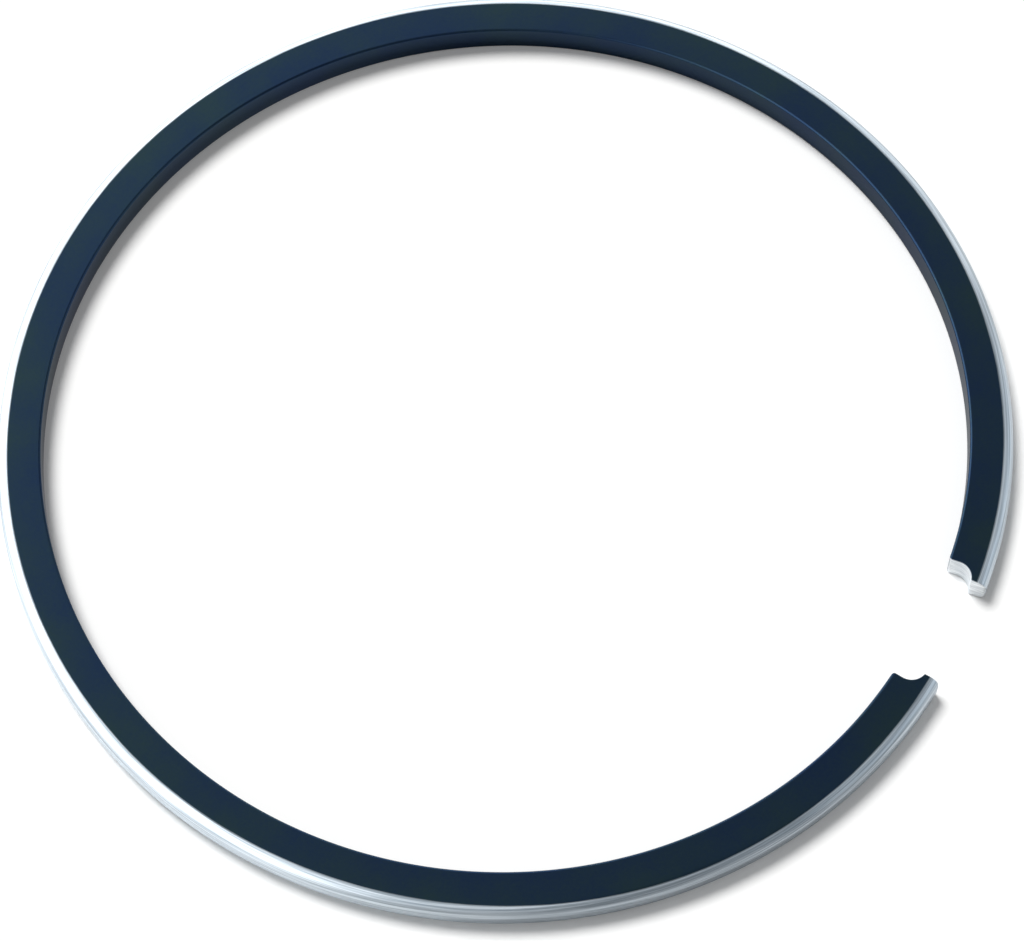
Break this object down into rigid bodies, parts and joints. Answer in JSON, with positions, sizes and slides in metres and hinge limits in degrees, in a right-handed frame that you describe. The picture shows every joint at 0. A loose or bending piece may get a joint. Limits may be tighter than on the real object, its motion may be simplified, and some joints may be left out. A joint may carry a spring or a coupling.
{
  "type": "piston ring",
  "caption": "Split compression ring of a small two-stroke piston, sprung open, with side-notched ends that close round a stop pin and a running face with rounded edges.",
  "frame": {"origin": "centre of the free ring's bounding box, in the plane of its lower side face", "axes": "+Z along the ring's axis from the lower side face to the upper one, +X through the middle of the gap, Y across the gap"},
  "size_m": [0.048, 0.049, 0.0015],
  "materials": {
    "piston_ring": "blue-black phosphate coat on the side faces and the inner wall; the running face with its rounded edges and the ends with their pin seats are ground bright"
  },
  "bodies": {
    "root": {"piston_ring": "piston_ring"}
  },
  "joints": []
}
